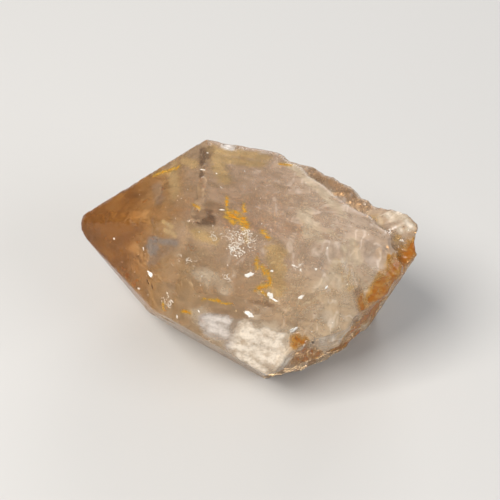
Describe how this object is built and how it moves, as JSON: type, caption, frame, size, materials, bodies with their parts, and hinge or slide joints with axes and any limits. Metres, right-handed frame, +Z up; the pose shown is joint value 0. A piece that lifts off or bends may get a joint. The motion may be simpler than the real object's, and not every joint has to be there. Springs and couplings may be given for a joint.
{
  "type": "citrine crystal point",
  "caption": "Natural citrine quartz crystal lying on a long face: a hexagonal column with a worn, faceted tip and a rough conchoidal break at its base. A display mineral specimen.",
  "frame": {"origin": "centre of the object's box, at the height of the face that the crystal rests on", "axes": "+X runs along the crystal from its tip to its broken base, -Y is its front, +Z is up"},
  "size_m": [0.0506, 0.034, 0.0278],
  "materials": {
    "citrine": "glassy, hazy warm brown-yellow quartz, amber at the tip and milky at the break, see-through only in part"
  },
  "bodies": {
    "root": {"crystal": "citrine"}
  },
  "joints": []
}
